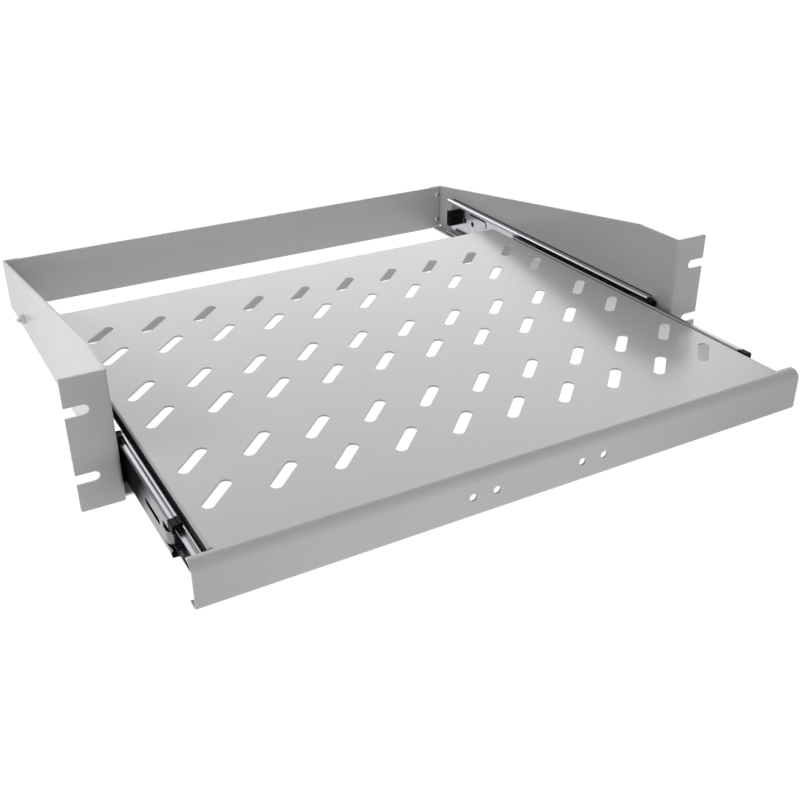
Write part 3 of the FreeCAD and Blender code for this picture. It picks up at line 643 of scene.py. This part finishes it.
def ring_edges(mesh, verts):
    ring = set(verts)
    return [e for e in mesh.edges if e.verts[0] in ring and e.verts[1] in ring]


def shape_ring(verts, height, radius, flats):
    """Puts a ring of vertices at a height, on a circle. With flats it lies on the six sides of a nut instead,
    and radius only says which way the conical chamfer moves its corners: 1 up, -1 down."""
    for vert in verts:
        angle = math.atan2(vert.co.y, vert.co.x)
        reach = radius
        drop = 0.0
        if flats:
            corner = (angle + HALF_TURN / 6) % (HALF_TURN / 3) - HALF_TURN / 6
            reach = flats / 2 / math.cos(corner)
            drop = (reach - flats / 2) * NUT_CHAMFER * radius
        vert.co = (reach * math.cos(angle), reach * math.sin(angle), height + drop)


def turned(rings, segments=24, closed=False):
    """A body swept through rings of (height, radius, flats), with its ends capped or joined to each other."""
    mesh = bmesh.new()
    ring = bmesh.ops.create_circle(mesh, segments=segments, radius=1.0)["verts"]
    first = list(ring)
    shape_ring(ring, *rings[0])
    edges = ring_edges(mesh, ring)
    for height, radius, flats in rings[1:]:
        grown = bmesh.ops.extrude_edge_only(mesh, edges=edges)["geom"]
        ring = [v for v in grown if isinstance(v, bmesh.types.BMVert)]
        shape_ring(ring, height, radius, flats)
        edges = ring_edges(mesh, ring)
    if closed:
        bmesh.ops.bridge_loops(mesh, edges=edges + ring_edges(mesh, first))
    else:
        bmesh.ops.contextual_create(mesh, geom=ring_edges(mesh, first))
        bmesh.ops.contextual_create(mesh, geom=edges)
    bmesh.ops.recalc_face_normals(mesh, faces=mesh.faces)
    return mesh


def round_rings(*pairs):
    return [(height, radius, 0.0) for height, radius in pairs]


print("a nut's chamfer drops", round(NUT_CHAMFER, 3), "mm for each mm outwards")

# %% [markdown]
# A cross recess follows the punch that makes it: the flat of the head is split along the sides of the
# cross, and a copy of the faces inside it is pushed down and drawn together. The operator keeps the flat
# faces that it copies, so they still lie over the recess like a skin, and the head looks flat from
# outside. Deleting them after the push would open it. A thread is a small triangle that is spun about the
# axis and climbs a little with each step.

# %% Recess and thread
RECESS_TAPER = 0.55
HEAD_LEVEL = 1e-6
HEAD_FACING = -0.99
THREAD_PITCH = 0.7
THREAD_STEPS = 16
THREAD_CREST = 2.0
THREAD_ROOT = 1.55


def cross_recess(mesh, width, reach, depth):
    """Sinks a cross below the flat of the head, which lies in the plane z = 0 and looks down the z axis."""
    def head_faces():
        mesh.normal_update()
        return [f for f in mesh.faces
                if f.normal.z < HEAD_FACING and abs(f.calc_center_median().z) < HEAD_LEVEL]

    for axis in (Vector((1.0, 0.0, 0.0)), Vector((0.0, 1.0, 0.0))):
        for at in (-reach, -width / 2, width / 2, reach):
            faces = head_faces()
            edges = list(dict.fromkeys(e for f in faces for e in f.edges))
            verts = list(dict.fromkeys(v for f in faces for v in f.verts))
            bmesh.ops.bisect_plane(mesh, geom=verts + edges + faces, plane_co=axis * at, plane_no=axis)
    arms = []
    for face in head_faces():
        across = sorted(abs(v) for v in face.calc_center_median().xy)
        if across[0] < width / 2 and across[1] < reach:
            arms.append(face)
    sunk = bmesh.ops.extrude_face_region(mesh, geom=arms)["geom"]
    verts = [v for v in sunk if isinstance(v, bmesh.types.BMVert)]
    bmesh.ops.translate(mesh, verts=verts, vec=(0.0, 0.0, depth))
    bmesh.ops.scale(mesh, verts=verts, vec=(RECESS_TAPER, RECESS_TAPER, 1.0))


def roll_thread(mesh, low, high):
    """A ridge that winds up the shank between two heights."""
    profile = ((THREAD_ROOT, low), (THREAD_CREST, low + THREAD_PITCH / 2), (THREAD_ROOT, low + THREAD_PITCH))
    verts = [mesh.verts.new((radius, 0.0, height)) for radius, height in profile]
    edges = [mesh.edges.new((verts[i], verts[i - 1])) for i in range(3)]
    steps = int((high - low - THREAD_PITCH) / THREAD_PITCH * THREAD_STEPS)
    spun = bmesh.ops.spin(mesh, geom=verts + edges, cent=(0.0, 0.0, 0.0), axis=(0.0, 0.0, 1.0),
                          dvec=(0.0, 0.0, THREAD_PITCH / THREAD_STEPS), steps=steps,
                          angle=2 * HALF_TURN * steps / THREAD_STEPS)
    bmesh.ops.contextual_create(mesh, geom=edges)
    last = [e for e in spun["geom_last"] if isinstance(e, bmesh.types.BMEdge)]
    bmesh.ops.contextual_create(mesh, geom=last)
    bmesh.ops.recalc_face_normals(mesh, faces=mesh.faces)


print("thread of", THREAD_PITCH, "mm pitch in", THREAD_STEPS, "steps a turn")

# %% [markdown]
# With these two tools, each fastener is a list of rings and a cut. Countersunk screws hold the cabinet
# rails to the side plates, and pan heads hold the inner rails to the tray. All shanks share a core, a
# thread and a chamfered tip. A blind rivet starts at the mandrel's stub in its pocket, goes over the
# domed head, and ends in the bulb that the mandrel drew up behind the sheet.

# %% The fasteners
SHANK_CORE = 1.70
SHANK_TIP = 1.30
TIP_LENGTH = 0.45
THREAD_END = 0.35
NUT_FLATS = 7.0
RIVET_DOME = 3.62
TEST_LENGTH = 9.0


def shank(start, length):
    return [(start, SHANK_CORE), (length - TIP_LENGTH, SHANK_CORE), (length, SHANK_TIP)]


def sunk_screw(length):
    head = [(0.0, 2.95), (0.12, 3.08), (1.15, 2.0)]
    mesh = turned(round_rings(*head, *shank(1.25, length)))
    cross_recess(mesh, 0.9, 1.9, 0.9)
    roll_thread(mesh, 1.3, length - THREAD_END)
    return mesh


def pan_screw(length):
    head = [(0.0, 2.6), (0.2, 3.1), (0.5, 3.48), (0.9, 3.70), (1.3, 3.75), (2.2, 3.75)]
    mesh = turned(round_rings(*head, *shank(2.2, length)))
    cross_recess(mesh, 0.9, 2.0, 1.1)
    roll_thread(mesh, 2.3, length - THREAD_END)
    return mesh


def hexagon_nut(length):
    """Hole with a small countersink, a flat face out to the chamfer, then the six sides."""
    face = NUT_FLATS / 2 - 0.02
    rings = round_rings((0.3, 2.0), (0.0, 2.3), (0.0, face))
    rings += [(0.0, 1.0, NUT_FLATS), (length, -1.0, NUT_FLATS)]
    rings += round_rings((length, face), (length, 2.3), (length - 0.3, 2.0))
    return turned(rings, segments=48, closed=True)


def blind_rivet(length):
    """Mandrel stub and its pocket, the domed head, the shank, and the bulb with the mandrel's own head."""
    pocket = [(1.60, 0.35), (1.68, 0.60), (1.85, 0.62), (1.85, 0.85), (0.20, 0.90)]
    dome = [(RIVET_DOME - math.sqrt(RIVET_DOME ** 2 - r ** 2), r) for r in (1.0, 1.4, 1.8, 2.15, 2.42, 2.6)]
    neck = [(1.1, 1.6), (4.1, 1.6)]
    bulb = [(4.1, 2.1), (4.35, 2.28), (4.9, 2.3), (5.3, 2.1), (5.65, 1.75), (5.7, 1.5)]
    end = [(length - 0.15, 1.42), (length, 1.2)]
    return turned(round_rings(*pocket, *dome, *neck, *bulb, *end))


sample = sunk_screw(TEST_LENGTH)
print("a screw of", TEST_LENGTH, "mm has", len(sample.faces), "faces")
sample.free()

# %% [markdown]
# A node holds all its fasteners of one kind, so one piece takes the place of each node. A fastener is
# drawn upright with its head at zero. It is then turned onto its axis, shrunk from millimetres to metres,
# and moved to the end of its solid where the head is. The transform goes into the mesh, so the object
# stays at the origin, and each piece rides on the body of the node that it replaces.

# %% Fasteners in their places
SHARP_EDGE = math.radians(35.0)


def fasteners(name, make, axis, sign, finish_of, body):
    """Makes one piece for all the fasteners of a node: each starts at its head and runs along an axis."""
    whole = bpy.data.meshes.new(name)
    group = bmesh.new()
    other = [(1, 2), (2, 0), (0, 1)][axis]
    turn = Matrix.Identity(3)
    turn.col[0] = Vector([1.0 if i == other[0] else 0.0 for i in range(3)])
    turn.col[1] = Vector([sign if i == other[1] else 0.0 for i in range(3)])
    turn.col[2] = Vector([sign if i == axis else 0.0 for i in range(3)])
    for low, high in solids_in(name):
        middle = [(a + b) / 2 for a, b in zip(low, high)]
        middle[axis] = low[axis] if sign > 0 else high[axis]
        mesh = make(high[axis] - low[axis])
        place = Matrix.Translation(Vector(middle) * MM) @ (turn * MM).to_4x4()
        place[3][3] = 1.0
        bmesh.ops.transform(mesh, matrix=place, verts=mesh.verts)
        mesh.to_mesh(whole)
        mesh.free()
        group.from_mesh(whole)
    group.to_mesh(whole)
    count = len(group.faces)
    group.free()
    whole.shade_smooth()
    whole.set_sharp_from_angle(angle=SHARP_EDGE)
    whole.materials.append(finish_of)
    made = bpy.data.objects.new(name + "_turned", whole)
    scene.collection.objects.link(made)
    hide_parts(name)
    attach(made, body)
    return count


faces = fasteners("crossbar_rivets", blind_rivet, 1, 1.0, rivet_metal, "frame")
for side, out in SIDES.items():
    for name, make, sign, body in (("fixing_screws", sunk_screw, out, "frame"),
                                   ("fixing_nuts", hexagon_nut, out, "frame"),
                                   ("shelf_screws", pan_screw, -out, "shelf"),
                                   ("shelf_nuts", hexagon_nut, -out, "shelf")):
        faces += fasteners(side + "_" + name, make, 0, sign, fastener_zinc, body)
print("fasteners have", faces, "faces")

# %% [markdown]
# ## Sizes
# The finishes and the fasteners must not make the shelf any larger than its solids, whose box is taken as
# they are loaded.
